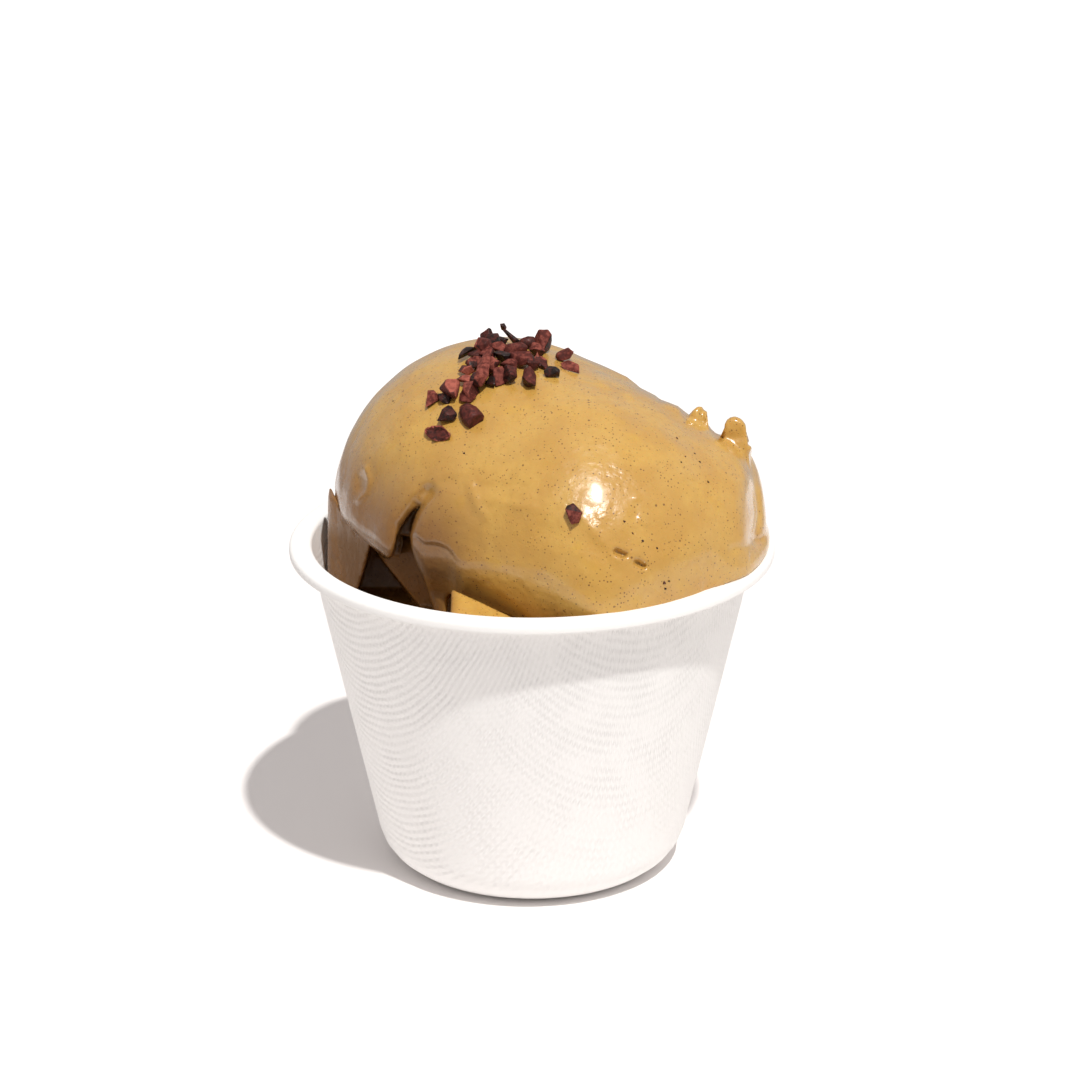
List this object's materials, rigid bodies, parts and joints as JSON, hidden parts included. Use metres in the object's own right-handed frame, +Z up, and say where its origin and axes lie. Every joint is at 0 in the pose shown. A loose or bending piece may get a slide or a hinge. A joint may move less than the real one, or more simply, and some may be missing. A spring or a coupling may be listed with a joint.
{
  "type": "cup of sorbet",
  "caption": "Moulded-fibre dessert cup with a turned-down rim, filled with sorbet and topped by a smooth folded scoop.",
  "frame": {"origin": "middle of the cup's underside, on the surface it stands on", "axes": "+Z up out of the cup's mouth, -Y to the front, where the fold in the top scoop shows, and +X to the side where the sorbet slumps over the rim"},
  "size_m": [0.092, 0.092, 0.103],
  "materials": {
    "cup_fibre": "matt white moulded plant fibre, smooth on the rim and printed with a fine mesh outside",
    "sorbet": null,
    "cacao_nibs": null
  },
  "bodies": {
    "root": {"cup": "cup_fibre", "cup_rim": "cup_fibre", "sorbet_lower_scoop": "sorbet", "sorbet_top_scoop": "sorbet"}
  },
  "joints": []
}
